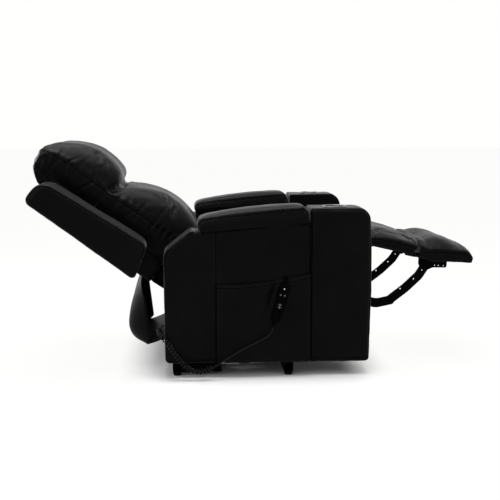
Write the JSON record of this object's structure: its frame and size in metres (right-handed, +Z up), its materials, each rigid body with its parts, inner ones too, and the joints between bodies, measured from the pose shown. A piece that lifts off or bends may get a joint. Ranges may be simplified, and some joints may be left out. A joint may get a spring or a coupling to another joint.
{
  "type": "power lift recliner",
  "caption": "Upholstered power lift recliner, stored reclined with the footrest out; the backrest and footrest move together and the base lifts and tilts the seat.",
  "frame": {"origin": "middle of the reclined chair's box without its cord, on the floor", "axes": "+X from the headrest to the footrest, +Y to the sitter's left, +Z up"},
  "size_m": [1.7141, 0.855, 0.8861],
  "materials": {
    "leather": "soft grained black, slightly glossy",
    "lining": "woven",
    "dust_cloth": "woven black",
    "black_board": "black lacquer",
    "timber": "plain",
    "black_steel": "satin black",
    "bright_steel": "zinc plated",
    "dark_plastic": "matt",
    "foot_rubber": "matt",
    "cup_steel": "brushed",
    "key_plastic": "satin",
    "lamp_lens": "clear",
    "cord_rubber": "satin"
  },
  "bodies": {
    "base": {"base_front_tube": "black_steel", "base_rear_tube": "black_steel", "base_rails": "black_steel", "base_brackets": "black_steel", "base_feet": "foot_rubber", "base_rear_shoes": "black_steel", "lift_motor_lug": "black_steel"},
    "rear_links": {"rear_lift_links": "black_steel"},
    "front_links": {"front_lift_links": "black_steel"},
    "lift_motor": {"lift_motor": "dark_plastic"},
    "lift_rod": {"lift_rod": "bright_steel"},
    "chair": {"mechanism_plates": "black_steel", "body_pins": "bright_steel", "seat_rails": "timber", "seat_cross_rails": "timber", "rear_slat": "timber", "seat_webbing": "dust_cloth", "seat_cushion": "leather", "motor_cross_tube": "black_steel", "footrest_hinge_arms": "black_steel", "control_box": "dark_plastic", "arm_side_right": "leather", "arm_side_left": "leather", "arm_post_right": "leather", "arm_post_left": "leather", "arm_pad_right": "leather", "arm_pad_left": "leather", "cup_holders": "cup_steel", "side_pockets": "leather", "rear_flap": "lining", "handset_back": "dark_plastic", "handset_face": "dark_plastic", "handset_lamp": "lamp_lens", "handset_strain_relief": "dark_plastic", "cord_straight": "cord_rubber", "cord_curly": "cord_rubber", "cord_tail": "cord_rubber", "cord_gland": "dark_plastic"},
    "back": {"back_core": "leather", "back_lower_frame": "dust_cloth", "back_wing_right": "leather", "back_wing_left": "leather", "back_brackets": "black_steel", "lumbar_cushion": "leather", "head_pillow": "leather"},
    "inner_links": {"footrest_inner_links": "black_steel"},
    "outer_links": {"footrest_outer_links": "black_steel"},
    "mid_rest": {"mid_board": "black_board", "mid_pad": "leather"},
    "footrest": {"footrest_board": "black_board", "footrest_pad": "leather", "footrest_brackets": "black_steel"},
    "recline_motor": {"recline_motor": "dark_plastic"},
    "recline_rod": {"recline_rod": "bright_steel"},
    "key_up": {"key_up": "key_plastic"},
    "key_down": {"key_down": "key_plastic"},
    "key_heat": {"key_heat": "key_plastic"},
    "key_massage": {"key_massage": "key_plastic"}
  },
  "joints": [
    {"name": "lift", "type": "hinge", "parent": "base", "child": "rear_links", "pos_m": [0.0578, 0, 0.15], "axis": [0, 1, 0], "range_deg": [0, 48.8]},
    {"name": "chair_tilt", "type": "hinge", "parent": "rear_links", "child": "chair", "pos_m": [-0.3162, 0, 0.08], "axis": [0, 1, 0], "range_deg": [-28.8, 0]},
    {"name": "front_link_turn", "type": "hinge", "parent": "base", "child": "front_links", "pos_m": [0.1187, 0, 0.1489], "axis": [0, 1, 0], "range_deg": [0, 56]},
    {"name": "lift_motor_swing", "type": "hinge", "parent": "base", "child": "lift_motor", "pos_m": [0.0687, 0, 0.07], "axis": [0, 1, 0], "range_deg": [0, 41.32]},
    {"name": "lift_rod_slide", "type": "slide", "parent": "lift_motor", "child": "lift_rod", "axis": [-0.9928, 0, 0.12], "range_m": [0, 0.05455]},
    {"name": "recline", "type": "hinge", "parent": "chair", "child": "back", "pos_m": [-0.2413, 0, 0.29], "axis": [0, 1, 0], "range_deg": [0, 32], "deforming": ["rear_flap"]},
    {"name": "inner_link_turn", "type": "hinge", "parent": "chair", "child": "inner_links", "pos_m": [0.29174, 0, 0.34255], "axis": [0, 1, 0], "range_deg": [0, 78.64]},
    {"name": "outer_link_turn", "type": "hinge", "parent": "inner_links", "child": "outer_links", "pos_m": [0.52869, 0, 0.25151], "axis": [0, 1, 0], "range_deg": [-77.64, 0]},
    {"name": "mid_board_turn", "type": "hinge", "parent": "chair", "child": "mid_rest", "pos_m": [0.4287, 0, 0.474], "axis": [0, 1, 0], "range_deg": [0, 76.92]},
    {"name": "footrest_turn", "type": "hinge", "parent": "mid_rest", "child": "footrest", "pos_m": [0.6267, 0, 0.428], "axis": [0, 1, 0], "range_deg": [0, 7.96]},
    {"name": "recline_motor_swing", "type": "hinge", "parent": "chair", "child": "recline_motor", "pos_m": [0.1587, 0, 0.215], "axis": [0, 1, 0], "range_deg": [0, 1.62]},
    {"name": "recline_rod_slide", "type": "slide", "parent": "recline_motor", "child": "recline_rod", "axis": [-0.9988, 0, -0.05], "range_m": [0, 0.05101]},
    {"name": "key_up_press", "type": "slide", "parent": "chair", "child": "key_up", "axis": [0, 1, 0], "range_m": [0, 0.0012], "stiffness_N_per_m": 500},
    {"name": "key_down_press", "type": "slide", "parent": "chair", "child": "key_down", "axis": [0, 1, 0], "range_m": [0, 0.0012], "stiffness_N_per_m": 500},
    {"name": "key_heat_press", "type": "slide", "parent": "chair", "child": "key_heat", "axis": [0, 1, 0], "range_m": [0, 0.0012], "stiffness_N_per_m": 500},
    {"name": "key_massage_press", "type": "slide", "parent": "chair", "child": "key_massage", "axis": [0, 1, 0], "range_m": [0, 0.0012], "stiffness_N_per_m": 500}
  ],
  "couplings": [
    {"joint": "chair_tilt", "follows": "lift", "ratio": -0.59016},
    {"joint": "front_link_turn", "follows": "lift", "ratio": 1.1475},
    {"joint": "lift_motor_swing", "follows": "lift", "ratio": 0.84681},
    {"joint": "lift_rod_slide", "follows": "lift", "m_per_rad": 0.064049},
    {"joint": "inner_link_turn", "follows": "recline", "ratio": 2.4576},
    {"joint": "outer_link_turn", "follows": "recline", "ratio": -2.4262},
    {"joint": "mid_board_turn", "follows": "recline", "ratio": 2.4038},
    {"joint": "footrest_turn", "follows": "recline", "ratio": 0.24866},
    {"joint": "recline_motor_swing", "follows": "recline", "ratio": 0.050636},
    {"joint": "recline_rod_slide", "follows": "recline", "m_per_rad": 0.091326}
  ]
}
